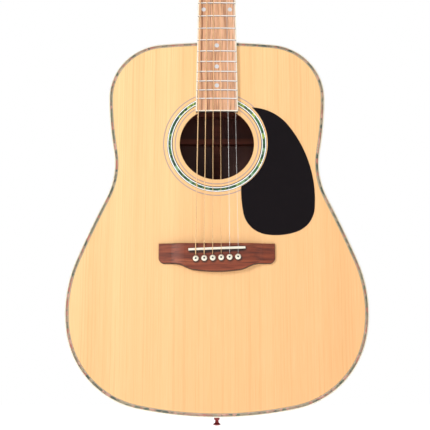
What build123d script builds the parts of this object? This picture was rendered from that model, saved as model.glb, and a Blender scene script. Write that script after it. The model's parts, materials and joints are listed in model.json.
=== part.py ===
from build123d import *
import os
from math import asin, atan2, cos, degrees, hypot, radians, sin, sqrt

# Steel-string acoustic guitar with a square-shouldered body, in millimetres.
# +Z runs up the neck, +X points to the treble side and -Y out of the soundboard. The origin is on the
# centre line at the nut end of the fingerboard, in the plane of the soundboard's outer face, which is
# also the plane on which the fingerboard is glued. "Depth" below means +Y, into the body.

# Strings and frets
SCALE_LENGTH = 650.0
FRET_COUNT = 20
NUT_SPREAD = 37.0                # first to sixth string at the nut
SADDLE_SPREAD = 56.0             # first to sixth string at the saddle
STRING_GAUGES = [0.30, 0.41, 0.61, 0.81, 1.07, 1.35]   # diameters, first string to sixth
NUT_ACTION = 8.0                 # string undersides above the glue plane, at the nut
SADDLE_TOP = 11.5                # and on the saddle

# Body
TAIL_Z = -869.9
BODY_ARCS = [(506, 11.6), (120.5, 68.8), (176, 31.7), (1308, 4.0), (-103.5, 36.8), (464, 9.3), (77, 86.0)]
TOP_THICKNESS = 2.8
SIDE_THICKNESS = 2.5
BACK_THICKNESS = 3.0
BACK_RADIUS = 4572.0             # the back is part of a sphere this big
BACK_CENTRE = (0, -4451.4, -795)
BINDING_WIDTH = 1.5
BINDING_DEPTH = 6.0
PURFLING_WIDTH = 3.8
INLAY_DEPTH = 1.4
LINING_WIDTH = 6.0
LINING_DEPTH = 14.0
TOP_EDGE_CHAMFER = 0.6
BACK_EDGE_FILLET = 1.0
BACK_FROM = 60.0                 # a depth short of everything that follows the back's curve
DEEPEST = 130.0                  # past the whole body
BODY_TOP_Z = -360.9
BLOCK_WIDTH = 92.0
NECK_BLOCK_LENGTH = 52.0
TAIL_BLOCK_LENGTH = 20.0
DOVETAIL_DEPTH = 82.0
BRACE_CLEARANCE = 0.5            # between the ends of the braces and the linings
X_BRACE_ENDS = ((104, -470), (-150, -806))    # x and z of one leg; the other is its mirror image
X_BRACE_SIZE = (8, 14)                        # width and height
LOWER_BRACES = [((-34, -735), (86, -800)), ((-34, -780), (50, -832))]
LOWER_BRACE_SIZE = (6, 10)
CROSS_BRACE_ENDS = ((-140, -438), (140, -438))
CROSS_BRACE_SIZE = (10, 15)
FINGER_BRACES = [((100, -700), (172, -672)), ((120, -735), (186, -720))]     # mirrored on the bass side
FINGER_BRACE_SIZE = (5, 8)
HOLE_PATCH_ENDS = ((58, -474), (58, -510))    # a patch each side of the sound hole
HOLE_PATCH_SIZE = (8, 4)
BRACE_SHAVE = 40.0                            # length of a brace's tapered end, at most
BRACE_TIP = 3.0                               # height left at its tip
BACK_BARS = [(-436, 8, 13), (-477, 8, 13), (-590, 8, 13), (-690, 18, 10), (-790, 18, 10)]
BACK_STRIP_SIZE = (14, 2)                     # width and height of the strip along the back's joint
TAIL_BLOCK_TOP_Z = TAIL_Z + TAIL_BLOCK_LENGTH + SIDE_THICKNESS
END_PIN_DEPTH = 55.0
END_PIN_STEM = (3.6, 3.0)                     # radius outside and at the tail block's inner face
END_PIN_SHOULDER = 1.5                        # how far its stem stands out of the tail

# Sound hole and rosette
HOLE_Z = -507.1
HOLE_RADIUS = 50.5
ROSETTE_RINGS = [(55.6, 57.2), (60.0, 67.6), (71.4, 73.0)]   # inner and outer radii

# Pickguard: its outer edge from the tail end of its inner one, and the circle that the inner one follows
PICKGUARD_THICKNESS = 0.8
PICKGUARD_CHAMFER = 0.35
PICKGUARD_START = (32.5, -567.0)
PICKGUARD_HEADING = -91.3        # degrees from +X
PICKGUARD_ARCS = [(182, 11.4), (36.2, 70.3), (82.4, 29.0), (37, 65.1), (164.5, 43.0), (65.3, 50.3)]
PICKGUARD_INNER_RADIUS = 69.0
PICKGUARD_INNER_MIDDLE = 2.0     # degrees from +X, of a point on the inner edge

# Bridge
BRIDGE_HALF_LENGTH = 76.8
BRIDGE_TOP_Z = -645.3
BRIDGE_DEPTH = 37.5              # from the straight edge to the middle of the belly
BRIDGE_THICKNESS = 8.5
BRIDGE_EDGE_FILLET = 1.2
WING_HEIGHT = 4.6                # where the level middle has sloped down to a wing
WING_TIP_HEIGHT = 3.4
WING_CORNER_RADIUS = 8
BELLY_RADIUS = 200               # of the shallow curve in the middle
BELLY_TURN = 8.6                 # degrees, each side of the middle
WING_BLEND_RADIUS = 34           # of the two curves between belly and wing
WING_BLEND_TURN = 29.2           # degrees, where those two curves meet
PLATE_THICKNESS = 2.5
PLATE_CORNERS = [(-26, -650), (26, -650), (53, -686), (-53, -686)]
SADDLE_LENGTH = 75.0
SADDLE_WIDTH = 2.8
SADDLE_SET = 5.0                 # how deep it stands in the bridge
SADDLE_FILLET = 0.9
SADDLE_Z = -652.7
SADDLE_SLANT = 2.14              # degrees, the bass end further back
PIN_SPACING = 11.12
PIN_Z = -664.8
PIN_SLANT = 2.4                  # degrees, the line of the pins
PIN_RADIUS = 2.7
PIN_HEAD_RADIUS = 3.9
PIN_BORE_RADIUS = 2.75
PIN_LENGTH = 23.0
PIN_HEAD_HEIGHT = 2.6
PIN_DOT_RADIUS = 1.1
BALL_RADIUS = 1.6                # of the ring at a string's end, under the bridge plate

# Fingerboard and neck
NUT_WIDTH = 43.0
NUT_LENGTH = 6.0
NECK_TAPER = 0.0315              # growth in width for each millimetre from the nut
BOARD_THICKNESS = 6.5
BOARD_RADIUS = 400.0
BOARD_END_Z = -463.4
BOARD_BINDING = 1.8
BOARD_AXIS_Y = BOARD_RADIUS - BOARD_THICKNESS
FRET_CROWN_WIDTH = 2.2
FRET_CROWN_HEIGHT = 1.0
FRET_TANG_WIDTH = 0.6
FRET_TANG_DEPTH = 1.8
DOT_FRETS = (3, 5, 7, 9, 12, 15, 17, 19)
DOUBLE_DOT_FRET = 12
DOT_RADIUS = 3.0
DOT_SPREAD = 18.2                # from the centre line, the pair at the twelfth fret
HEEL_DEPTH = 95.0
HEEL_SECTIONS = [(7, 24.5, 62), (18, 20, 36), (34, 16.5, 25), (60, 13.5, 19.5)]   # depth, half width, length
HEEL_TIP = (12, 17)              # half width and length at its full depth
HEEL_CAP_THICKNESS = 2.5
SHAFT_NUT_DEPTH = 14.5           # of the neck's shaft behind the fingerboard's glue plane
SHAFT_HEEL_DEPTH = 18.5
ROD_DEPTH = 10.5                 # of the truss rod's channel
ROD_WIDTH = 6.0
ROD_END_Z = -443.5               # where its adjusting nut begins
ROD_NUT_LENGTH = 12.0

# Headstock and tuners, in the headstock's own plane: x across, s up from the nut, height towards the player
HEAD_ANGLE = 14.0
HEAD_THICKNESS = 13.0
HEAD_EDGE_FILLET = 1.5
VENEER_THICKNESS = 2.0
VENEER_CHAMFER = 0.4
HEAD_LENGTH = 182.0
POSTS = [(22.0, 45.0), (23.2, 85.0), (24.4, 125.0)]   # x and s, from the nut outwards
POST_RADIUS = 3.0
POST_TOP = 14.0
TUNER_HOLE_RADIUS = 5.0
POST_WAIST = 2.4                 # radius under the windings
POST_WAIST_HEIGHT = 4.8
POST_CHAMFER = 0.6
WHEEL_RADIUS = 4.4
WHEEL_THICKNESS = 6.0
WINDING_HEIGHT = 8.0
WINDING_TURNS = 3
SHAFT_RADIUS = 1.9
WORM_RADIUS = 2.0
WORM_LENGTH = 13.0
WORM_OFFSET = 6.5                # from the post's axis to the worm shaft's
WORM_HEIGHT = -HEAD_THICKNESS - 5.5
HOUSING_SIZE = (19.0, 22.0, 11.0)
BUTTON_LENGTH = 14.4
BUTTON_WIDTH = 20.0
BUTTON_THICKNESS = 8.0
BUTTON_CORNER = 5.5
BUTTON_FILLET = 3.0
RUN_CLEARANCE = 0.05


def front_plane(depth):
    """A plane parallel to the soundboard, at a depth behind its face, that looks out of the guitar."""
    return Plane.XZ.offset(-depth)


def fret_z(number):
    return -SCALE_LENGTH * (1 - 2 ** (-number / 12))


def board_half_width(z):
    return (NUT_WIDTH - NECK_TAPER * z) / 2


def spread_x(index, width):
    """Across the strings, for string index 0 (first, treble) to 5 (sixth, bass)."""
    return width * (0.5 - index / 5)


def crowning(x):
    """How much the curved fingerboard falls away at x."""
    return BOARD_RADIUS - sqrt(BOARD_RADIUS**2 - x**2)


def saddle_z(x):
    return SADDLE_Z + x * sin(radians(SADDLE_SLANT))


def pin_place(index):
    x = PIN_SPACING * (2.5 - index)
    return x, PIN_Z + x * sin(radians(PIN_SLANT))


def half_chain(start, heading, arcs):
    """Tangent arcs, each a radius and a turn in degrees, as points for a wire."""
    edges = []
    for radius, turn in arcs:
        edge = JernArc(start=start, tangent=heading, radius=radius, arc_size=turn, mode=Mode.PRIVATE)
        start, heading = edge @ 1, edge % 1
        edges.append(edge)
    return edges


def body_face(inset):
    """The body's outline, drawn in from its outer edge by inset."""
    arcs = [(abs(radius) - inset if radius > 0 else abs(radius) + inset, turn if radius > 0 else -turn)
            for radius, turn in BODY_ARCS]
    turned = sum(turn for _, turn in arcs)
    half = half_chain((0, TAIL_Z + inset), (1, 0), arcs)
    last_radius = (half[-1] @ 1).X / sin(radians(180 - turned))
    half += half_chain(half[-1] @ 1, half[-1] % 1, [(last_radius, 180 - turned)])
    with BuildSketch() as face:
        with BuildLine():
            add(half)
            mirror(about=Plane.YZ)
        make_face()
    return face.sketch


def ring_face(outer_inset, inner_inset):
    """A band that follows the body's outline between two insets."""
    with BuildSketch() as face:
        add(body_face(outer_inset))
        add(body_face(inner_inset), mode=Mode.SUBTRACT)
    return face.sketch


def back_ball(below_outside):
    """The sphere that the back's outer face lies on, or one smaller by below_outside."""
    with BuildPart() as ball:
        with Locations(BACK_CENTRE):
            Sphere(BACK_RADIUS - below_outside)
    return ball.part


def prism(face, depth_from, depth_to):
    """A face extruded through the body between two depths."""
    with BuildPart() as solid:
        with BuildSketch(front_plane(depth_to)):
            add(face)
        extrude(amount=depth_to - depth_from)
    return solid.part


def block(x_size, depth_from, depth_to, z_from, z_to):
    """A block centred on the centre line."""
    with BuildPart() as solid:
        with Locations((0, (depth_from + depth_to) / 2, (z_from + z_to) / 2)):
            Box(x_size, depth_to - depth_from, abs(z_to - z_from))
    return solid.part


def dovetail(depth_from, depth_to):
    """The neck's dovetail, which widens into the neck block."""
    with BuildSketch() as face:
        with BuildLine():
            Polyline((-9, BODY_TOP_Z + 4), (-9, BODY_TOP_Z), (-14, BODY_TOP_Z - 18), (14, BODY_TOP_Z - 18),
                     (9, BODY_TOP_Z), (9, BODY_TOP_Z + 4), close=True)
        make_face()
    return prism(face.sketch, depth_from, depth_to)


def rosette_face(rings):
    with BuildSketch() as face:
        with Locations((0, HOLE_Z)):
            for inner, outer in rings:
                Circle(outer)
                Circle(inner, mode=Mode.SUBTRACT)
    return face.sketch


def rosette_solid():
    with BuildPart() as rings:
        for ring in ROSETTE_RINGS:
            add(prism(rosette_face([ring]), 0, INLAY_DEPTH))
    return rings.part


def string_holes(depth_from, depth_to):
    """Round holes for the bridge pins, each with a slot towards the saddle for its string."""
    with BuildSketch() as face:
        for index, gauge in enumerate(STRING_GAUGES):
            x, z = pin_place(index)
            with Locations((x, z)):
                Circle(PIN_BORE_RADIUS)
            slot = PIN_BORE_RADIUS + gauge + 0.3
            with Locations((x, z + slot / 2)):
                Rectangle(gauge + 0.3, slot)
    return prism(face.sketch, depth_from, depth_to)


def write(piece, name):
    piece.label = name
    export_step(piece, f"parts/{name}.step")


# ---- Body ----

def make_soundboard():
    with BuildPart() as soundboard:
        add(prism(body_face(BINDING_WIDTH), 0, TOP_THICKNESS))
        add(prism(ring_face(BINDING_WIDTH, BINDING_WIDTH + PURFLING_WIDTH), 0, INLAY_DEPTH),
            mode=Mode.SUBTRACT)
        add(rosette_solid(), mode=Mode.SUBTRACT)
        with BuildSketch(front_plane(0)):
            with Locations((0, HOLE_Z)):
                Circle(HOLE_RADIUS)
        extrude(amount=-TOP_THICKNESS, mode=Mode.SUBTRACT)
        add(string_holes(0, TOP_THICKNESS), mode=Mode.SUBTRACT)
        add(dovetail(0, TOP_THICKNESS), mode=Mode.SUBTRACT)
    write(soundboard.part, "soundboard")


def make_rosette():
    write(rosette_solid(), "rosette")


def make_top_edge():
    with BuildPart() as purfling:
        add(prism(ring_face(BINDING_WIDTH, BINDING_WIDTH + PURFLING_WIDTH), 0, INLAY_DEPTH))
        add(dovetail(0, INLAY_DEPTH), mode=Mode.SUBTRACT)
    write(purfling.part, "top_purfling")
    with BuildPart() as binding:
        add(prism(body_face(0), 0, BINDING_DEPTH))
        chamfer(binding.faces().sort_by(Axis.Y)[0].edges(), TOP_EDGE_CHAMFER)
        add(prism(body_face(BINDING_WIDTH), 0, BINDING_DEPTH), mode=Mode.SUBTRACT)
        add(dovetail(0, BINDING_DEPTH), mode=Mode.SUBTRACT)
    write(binding.part, "top_binding")


def make_back():
    with BuildPart() as back:
        add(prism(body_face(BINDING_WIDTH), BACK_FROM, DEEPEST))
        add(back_ball(0), mode=Mode.INTERSECT)
        add(back_ball(BACK_THICKNESS), mode=Mode.SUBTRACT)
    write(back.part, "back")
    with BuildPart() as binding:
        add(prism(body_face(0), BACK_FROM, DEEPEST))
        add(back_ball(0), mode=Mode.INTERSECT)
        fillet(binding.faces().sort_by(Axis.Y)[-1].edges(), BACK_EDGE_FILLET)
        add(back_ball(BINDING_DEPTH), mode=Mode.SUBTRACT)
        add(prism(body_face(BINDING_WIDTH), BACK_FROM, DEEPEST), mode=Mode.SUBTRACT)
    write(binding.part, "back_binding")


def end_pin_stem():
    """The tapered stem of the end pin, through the tail block."""
    with BuildPart() as stem:
        with BuildSketch(Plane.XY.offset(TAIL_Z - END_PIN_SHOULDER)):
            with Locations((0, END_PIN_DEPTH)):
                Circle(END_PIN_STEM[0])
        with BuildSketch(Plane.XY.offset(TAIL_Z + TAIL_BLOCK_LENGTH)):
            with Locations((0, END_PIN_DEPTH)):
                Circle(END_PIN_STEM[1])
        loft()
    return stem.part


def outer_ply():
    """The outermost part of the sides, between the two bindings."""
    with BuildPart() as ply:
        add(prism(ring_face(0, BINDING_WIDTH), BINDING_DEPTH, DEEPEST))
        add(back_ball(BINDING_DEPTH), mode=Mode.INTERSECT)
    return ply.part


def make_sides():
    for name, keep in (("side_bass", Keep.BOTTOM), ("side_treble", Keep.TOP)):
        with BuildPart() as side:
            add(prism(ring_face(BINDING_WIDTH, SIDE_THICKNESS), TOP_THICKNESS, DEEPEST))
            add(back_ball(BACK_THICKNESS), mode=Mode.INTERSECT)
            add(outer_ply())
            add(dovetail(0, DOVETAIL_DEPTH), mode=Mode.SUBTRACT)
            add(end_pin_stem(), mode=Mode.SUBTRACT)
            split(bisect_by=Plane.YZ, keep=keep)
        write(side.part, name)


def make_linings():
    blocks = [block(BLOCK_WIDTH, 0, DEEPEST, BODY_TOP_Z, BODY_TOP_Z - NECK_BLOCK_LENGTH),
              block(BLOCK_WIDTH, 0, DEEPEST, TAIL_Z, TAIL_BLOCK_TOP_Z)]
    inner = SIDE_THICKNESS + LINING_WIDTH
    with BuildPart() as top_linings:
        add(prism(ring_face(SIDE_THICKNESS, inner), TOP_THICKNESS, TOP_THICKNESS + LINING_DEPTH / 2))
        add(prism(ring_face(SIDE_THICKNESS, inner - 3), TOP_THICKNESS, TOP_THICKNESS + LINING_DEPTH))
        add(blocks, mode=Mode.SUBTRACT)
    write(top_linings.part, "top_linings")
    with BuildPart() as back_linings:
        add(prism(ring_face(SIDE_THICKNESS, inner), BACK_FROM, DEEPEST))
        add(back_ball(BACK_THICKNESS), mode=Mode.INTERSECT)
        add(back_ball(BACK_THICKNESS + LINING_DEPTH), mode=Mode.SUBTRACT)
        add(blocks, mode=Mode.SUBTRACT)
    write(back_linings.part, "back_linings")


def make_blocks():
    with BuildPart() as neck_block:
        add(prism(body_face(SIDE_THICKNESS), TOP_THICKNESS, DEEPEST))
        add(block(BLOCK_WIDTH, 0, DEEPEST, BODY_TOP_Z, BODY_TOP_Z - NECK_BLOCK_LENGTH), mode=Mode.INTERSECT)
        add(back_ball(BACK_THICKNESS), mode=Mode.INTERSECT)
        add(dovetail(0, DOVETAIL_DEPTH), mode=Mode.SUBTRACT)
        add(truss_bore(), mode=Mode.SUBTRACT)
    write(neck_block.part, "neck_block")
    with BuildPart() as tail_block:
        add(prism(body_face(SIDE_THICKNESS), TOP_THICKNESS, DEEPEST))
        add(block(BLOCK_WIDTH, 0, DEEPEST, TAIL_Z, TAIL_BLOCK_TOP_Z),
            mode=Mode.INTERSECT)
        add(back_ball(BACK_THICKNESS), mode=Mode.INTERSECT)
        add(end_pin_stem(), mode=Mode.SUBTRACT)
    write(tail_block.part, "tail_block")


def brace(start, end, size):
    """A bar under the soundboard between two (x, z) places, with both ends shaved down."""
    width, height = size
    length = hypot(end[0] - start[0], end[1] - start[1])
    along = ((end[0] - start[0]) / length, 0, (end[1] - start[1]) / length)
    shave = min(BRACE_SHAVE, length / 4)
    upright = Plane(origin=(start[0], TOP_THICKNESS, start[1]), x_dir=along,
                    z_dir=(-along[2], 0, along[0]))
    sign = 1 if upright.y_dir.Y > 0 else -1
    with BuildPart() as bar:
        with BuildSketch(upright):
            with BuildLine():
                Polyline((0, 0), (length, 0), (length, BRACE_TIP * sign), (length - shave, height * sign),
                         (shave, height * sign), (0, BRACE_TIP * sign), close=True)
            make_face()
        extrude(amount=width / 2, both=True)
    return bar.part


def inside_linings():
    """The space between the linings, where the braces stand."""
    return prism(body_face(SIDE_THICKNESS + LINING_WIDTH + BRACE_CLEARANCE), 0, DEEPEST)


def mirrored(ends):
    """The same two (x, z) places on the other side of the centre line."""
    return [(-x, z) for x, z in ends]


def make_braces():
    with BuildPart() as x_brace:
        add(brace(*mirrored(X_BRACE_ENDS), X_BRACE_SIZE))
        add(brace(*X_BRACE_ENDS, X_BRACE_SIZE))
        add(inside_linings(), mode=Mode.INTERSECT)
    write(x_brace.part, "x_brace")
    with BuildPart() as top_braces:
        add(brace(*CROSS_BRACE_ENDS, CROSS_BRACE_SIZE))
        for ends in LOWER_BRACES:
            add(brace(*ends, LOWER_BRACE_SIZE))
        for ends in FINGER_BRACES:
            add(brace(*ends, FINGER_BRACE_SIZE))
            add(brace(*mirrored(ends), FINGER_BRACE_SIZE))
        add(brace(*HOLE_PATCH_ENDS, HOLE_PATCH_SIZE))
        add(brace(*mirrored(HOLE_PATCH_ENDS), HOLE_PATCH_SIZE))
        add(inside_linings(), mode=Mode.INTERSECT)
        add(truss_bore(), mode=Mode.SUBTRACT)
    write(top_braces.part, "top_braces")


def back_bar(z, width, height):
    """A bar across the back that follows its curve."""
    with BuildPart() as bar:
        add(block(400, BACK_FROM, DEEPEST, z - width / 2, z + width / 2))
        add(back_ball(BACK_THICKNESS), mode=Mode.INTERSECT)
        add(back_ball(BACK_THICKNESS + height), mode=Mode.SUBTRACT)
        add(inside_linings(), mode=Mode.INTERSECT)
    return bar.part


def make_back_braces():
    bars = [back_bar(z, width, height) for z, width, height in BACK_BARS]
    with BuildPart() as back_braces:
        add(bars)
    write(back_braces.part, "back_braces")
    width, height = BACK_STRIP_SIZE
    with BuildPart() as back_strip:
        add(block(width, BACK_FROM, DEEPEST, BODY_TOP_Z - NECK_BLOCK_LENGTH, TAIL_BLOCK_TOP_Z))
        add(back_ball(BACK_THICKNESS), mode=Mode.INTERSECT)
        add(back_ball(BACK_THICKNESS + height), mode=Mode.SUBTRACT)
        add(bars, mode=Mode.SUBTRACT)
    write(back_strip.part, "back_strip")


def make_end_pin():
    """Stem, collar, waist for the strap, and flared head, about an axis along Z."""
    with BuildPart() as head:
        with BuildSketch(Plane(origin=(0, END_PIN_DEPTH, TAIL_Z), x_dir=(0, 1, 0), z_dir=(1, 0, 0))):
            with BuildLine():
                Polyline((0, -1), (3.5, -1), (3.5, -1.4), (3.9, -1.4), (3.9, -3.4), (2.2, -4.9), (2.6, -7.2))
                Spline((2.6, -7.2), (4.3, -8.6), (5.3, -10.1), tangents=((0.6, -1), (0.5, -1)))
                Polyline((5.3, -10.1), (3.0, -11.2), (0, -11.5), (0, -1))
            make_face()
        revolve(axis=Axis((0, END_PIN_DEPTH, 0), (0, 0, 1)))
    with BuildPart() as end_pin:
        add(end_pin_stem())
        add(head.part)
    write(end_pin.part, "end_pin")


# ---- Bridge ----

def bridge_face():
    """Straight towards the sound hole, rounded ends, and a belly towards the tail."""
    with BuildSketch() as face:
        with BuildLine():
            belly = JernArc(start=(0, BRIDGE_TOP_Z - BRIDGE_DEPTH), tangent=(1, 0),
                            radius=BELLY_RADIUS, arc_size=BELLY_TURN)
            shoulder = JernArc(start=belly @ 1, tangent=belly % 1,
                               radius=WING_BLEND_RADIUS, arc_size=WING_BLEND_TURN - BELLY_TURN)
            hollow = JernArc(start=shoulder @ 1, tangent=shoulder % 1,
                             radius=WING_BLEND_RADIUS, arc_size=-WING_BLEND_TURN)
            wing = Line(hollow @ 1, (BRIDGE_HALF_LENGTH - WING_CORNER_RADIUS, (hollow @ 1).Y))
            corner = JernArc(start=wing @ 1, tangent=(1, 0), radius=WING_CORNER_RADIUS, arc_size=90)
            Polyline(corner @ 1, (BRIDGE_HALF_LENGTH, BRIDGE_TOP_Z), (0, BRIDGE_TOP_Z))
            mirror(about=Plane.YZ)
        make_face()
    return face.sketch


def bridge_profile():
    """Front view of the bridge's height: a level middle and thinner wings."""
    with BuildSketch() as face:
        with BuildLine():
            level = Line((0, BRIDGE_THICKNESS), (43, BRIDGE_THICKNESS))
            slope = TangentArc((43, BRIDGE_THICKNESS), (60, WING_HEIGHT), tangent=(1, -0.05))
            wing = Line(slope @ 1, (BRIDGE_HALF_LENGTH + 1, WING_TIP_HEIGHT))
            Line(wing @ 1, (BRIDGE_HALF_LENGTH + 1, 0))
            Line((BRIDGE_HALF_LENGTH + 1, 0), (0, 0))
            mirror(about=Plane.YZ)
        make_face()
    return face.sketch


def saddle_slab(width, height_from, height_to):
    """A slab on the saddle's slanted line, between two heights above the soundboard."""
    with BuildPart() as slab:
        with BuildSketch(Plane.XZ.offset(height_from)):
            with Locations(Location((0, SADDLE_Z, 0), (0, 0, SADDLE_SLANT))):
                Rectangle(SADDLE_LENGTH, width)
        extrude(amount=height_to - height_from)
    return slab.part


def string_ramps():
    """Grooves in the bridge that lead each string from the saddle down into its hole."""
    with BuildPart() as ramps:
        for index, gauge in enumerate(STRING_GAUGES):
            x, z = pin_place(index)
            mouth = z + PIN_BORE_RADIUS + gauge + 0.3
            with BuildSketch(Plane.YZ.offset(x)):
                with BuildLine():
                    Polyline((-BRIDGE_THICKNESS - 1, mouth + 4.5), (-BRIDGE_THICKNESS, mouth + 4.5),
                             (-BRIDGE_THICKNESS + 4.5, mouth - 0.3), (-BRIDGE_THICKNESS - 1, mouth - 0.3),
                             close=True)
                make_face()
            extrude(amount=(gauge + 0.5) / 2, both=True)
    return ramps.part


def on_bridge_rim(edge):
    """True for the edges round the bridge's front, and not for those that cross its wings."""
    crossing = abs(edge.tangent_at(0.5).Z) > 0.99 and abs(edge.center().X) < BRIDGE_HALF_LENGTH - 1
    return edge.center().Y < -1 and abs(edge.tangent_at(0.5).Y) < 0.9 and not crossing


def make_bridge():
    with BuildPart() as bridge:
        add(prism(bridge_face(), -BRIDGE_THICKNESS, 0))
        with BuildSketch(Plane(origin=(0, 0, BRIDGE_TOP_Z + 1), x_dir=(1, 0, 0), z_dir=(0, 0, -1))):
            add(bridge_profile())
        extrude(amount=50, mode=Mode.INTERSECT)
        fillet(bridge.edges().filter_by(on_bridge_rim), BRIDGE_EDGE_FILLET)
        add(saddle_slab(SADDLE_WIDTH, BRIDGE_THICKNESS - SADDLE_SET, BRIDGE_THICKNESS + 1),
            mode=Mode.SUBTRACT)
        add(string_holes(-BRIDGE_THICKNESS, 0), mode=Mode.SUBTRACT)
        add(string_ramps(), mode=Mode.SUBTRACT)
    write(bridge.part, "bridge")
    with BuildPart() as saddle:
        add(saddle_slab(SADDLE_WIDTH, BRIDGE_THICKNESS - SADDLE_SET, SADDLE_TOP))
        with Locations((0, BOARD_RADIUS - SADDLE_TOP, SADDLE_Z)):
            Cylinder(BOARD_RADIUS, 20, mode=Mode.INTERSECT)
        fillet(saddle.edges().filter_by(lambda edge: edge.length > 60).sort_by(Axis.Y)[:2], SADDLE_FILLET)
    write(saddle.part, "saddle")
    with BuildPart() as bridge_plate:
        with BuildSketch(front_plane(TOP_THICKNESS + PLATE_THICKNESS)):
            with BuildLine():
                Polyline(*PLATE_CORNERS, close=True)
            make_face()
        extrude(amount=PLATE_THICKNESS)
        add(string_holes(TOP_THICKNESS, TOP_THICKNESS + PLATE_THICKNESS), mode=Mode.SUBTRACT)
    write(bridge_plate.part, "bridge_plate")


def make_bridge_pins():
    """Tapered pins with round heads, a dark dot let into each head."""
    top = -BRIDGE_THICKNESS - 0.1
    rim = top - PIN_HEAD_HEIGHT
    for index in range(len(STRING_GAUGES)):
        x, z = pin_place(index)
        with BuildPart() as pin:
            with BuildSketch(Plane(origin=(x, 0, z), x_dir=(1, 0, 0), z_dir=(0, 0, 1))):
                with BuildLine():
                    Polyline((0, rim), (PIN_DOT_RADIUS, rim), (PIN_DOT_RADIUS, rim - 0.3))
                    Spline((PIN_DOT_RADIUS, rim - 0.3), (2.9, top - 2.2), (PIN_HEAD_RADIUS, top - 0.9),
                           tangents=((1, 0.1), (0.15, 1)))
                    Polyline((PIN_HEAD_RADIUS, top - 0.9), (PIN_HEAD_RADIUS, top), (PIN_RADIUS, top),
                             (PIN_RADIUS, top + 9), (2.1, top + PIN_LENGTH - 1),
                             (1.2, top + PIN_LENGTH), (0, top + PIN_LENGTH), (0, rim))
                make_face()
            revolve(axis=Axis((x, 0, z), (0, 1, 0)))
            with BuildSketch(front_plane(rim)):
                with Locations((x, z)):
                    Circle(PIN_DOT_RADIUS)
            extrude(amount=0.4)
        write(pin.part, f"bridge_pin_{index + 1}")


# ---- Fingerboard and neck ----

def board_face(inset, end_inset):
    """The fingerboard's tapered outline, drawn in at its sides and at its body end."""
    end = BOARD_END_Z + end_inset
    near = board_half_width(0) - inset
    far = board_half_width(end) - inset
    with BuildSketch() as face:
        with BuildLine():
            Polyline((-near, 0), (near, 0), (far, end), (-far, end), close=True)
        make_face()
    return face.sketch


def crowned_prism(face, height_from, height_to, radius):
    """A face extruded towards the player, its top crowned like the fingerboard to a radius."""
    with BuildPart() as solid:
        add(prism(face, -height_to, -height_from))
        with Locations((0, BOARD_AXIS_Y, BOARD_END_Z / 2)):
            Cylinder(radius, -2 * BOARD_END_Z, mode=Mode.INTERSECT)
    return solid.part


def curved_bar(z, half_width, profile):
    """A fret's crown or tang: a profile swung across the fingerboard about its axis of curvature."""
    swing = asin(half_width / BOARD_RADIUS)
    outward = (-sin(swing), -cos(swing), 0)
    start = Plane(origin=(0, BOARD_AXIS_Y, z), x_dir=outward, z_dir=(-cos(swing), sin(swing), 0))
    with BuildPart() as bar:
        with BuildSketch(start):
            add(profile)
        revolve(axis=Axis((0, BOARD_AXIS_Y, 0), (0, 0, 1)), revolution_arc=2 * degrees(swing))
    return bar.part


def crown_profile():
    half = FRET_CROWN_WIDTH / 2
    with BuildSketch() as profile:
        with BuildLine():
            ThreePointArc((BOARD_RADIUS, -half), (BOARD_RADIUS + FRET_CROWN_HEIGHT, 0), (BOARD_RADIUS, half))
            Line((BOARD_RADIUS, half), (BOARD_RADIUS, -half))
        make_face()
    return profile.sketch


def tang_profile():
    with BuildSketch() as profile:
        with Locations((BOARD_RADIUS - FRET_TANG_DEPTH / 2, 0)):
            Rectangle(FRET_TANG_DEPTH, FRET_TANG_WIDTH)
    return profile.sketch


def tangs():
    profile = tang_profile()
    return [curved_bar(fret_z(n), board_half_width(fret_z(n)) - BOARD_BINDING, profile)
            for n in range(1, FRET_COUNT + 1)]


def dot_face():
    with BuildSketch() as face:
        for fret in DOT_FRETS:
            z = (fret_z(fret - 1) + fret_z(fret)) / 2
            for x in (-DOT_SPREAD, DOT_SPREAD) if fret == DOUBLE_DOT_FRET else (0,):
                with Locations((x, z)):
                    Circle(DOT_RADIUS)
    return face.sketch


def make_fingerboard():
    fret_tangs = tangs()
    dots_from = BOARD_THICKNESS - INLAY_DEPTH
    with BuildPart() as fingerboard:
        add(crowned_prism(board_face(BOARD_BINDING, BOARD_BINDING), 0, BOARD_THICKNESS, BOARD_RADIUS))
        add(fret_tangs, mode=Mode.SUBTRACT)
        add(prism(dot_face(), -BOARD_THICKNESS - 1, -dots_from), mode=Mode.SUBTRACT)
    write(fingerboard.part, "fingerboard")
    with BuildSketch() as band:
        add(board_face(0, 0))
        add(board_face(BOARD_BINDING, BOARD_BINDING), mode=Mode.SUBTRACT)
    write(crowned_prism(band.sketch, 0, BOARD_THICKNESS, BOARD_RADIUS), "fingerboard_binding")
    write(crowned_prism(dot_face(), dots_from, BOARD_THICKNESS + 1, BOARD_RADIUS), "dot_inlays")
    crown = crown_profile()
    with BuildPart() as frets:
        add(fret_tangs)
        add([curved_bar(fret_z(n), board_half_width(fret_z(n)) - 0.3, crown)
             for n in range(1, FRET_COUNT + 1)])
    write(frets.part, "frets")


def nut_slots():
    with BuildPart() as slots:
        for index, gauge in enumerate(STRING_GAUGES):
            x = spread_x(index, NUT_SPREAD)
            floor = NUT_ACTION - crowning(x) - 0.05
            with Locations((x, -floor - 2, NUT_LENGTH / 2)):
                Box(gauge + 0.3, 4, NUT_LENGTH + 2)
    return slots.part


def make_nut():
    with BuildPart() as nut:
        add(block(NUT_WIDTH, -NUT_ACTION - 3, 0, 0, NUT_LENGTH))
        with Locations((0, BOARD_RADIUS - NUT_ACTION - 0.8, 0)):
            Cylinder(BOARD_RADIUS, 40, mode=Mode.INTERSECT)
        add(nut_slots(), mode=Mode.SUBTRACT)
    write(nut.part, "nut")


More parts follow.
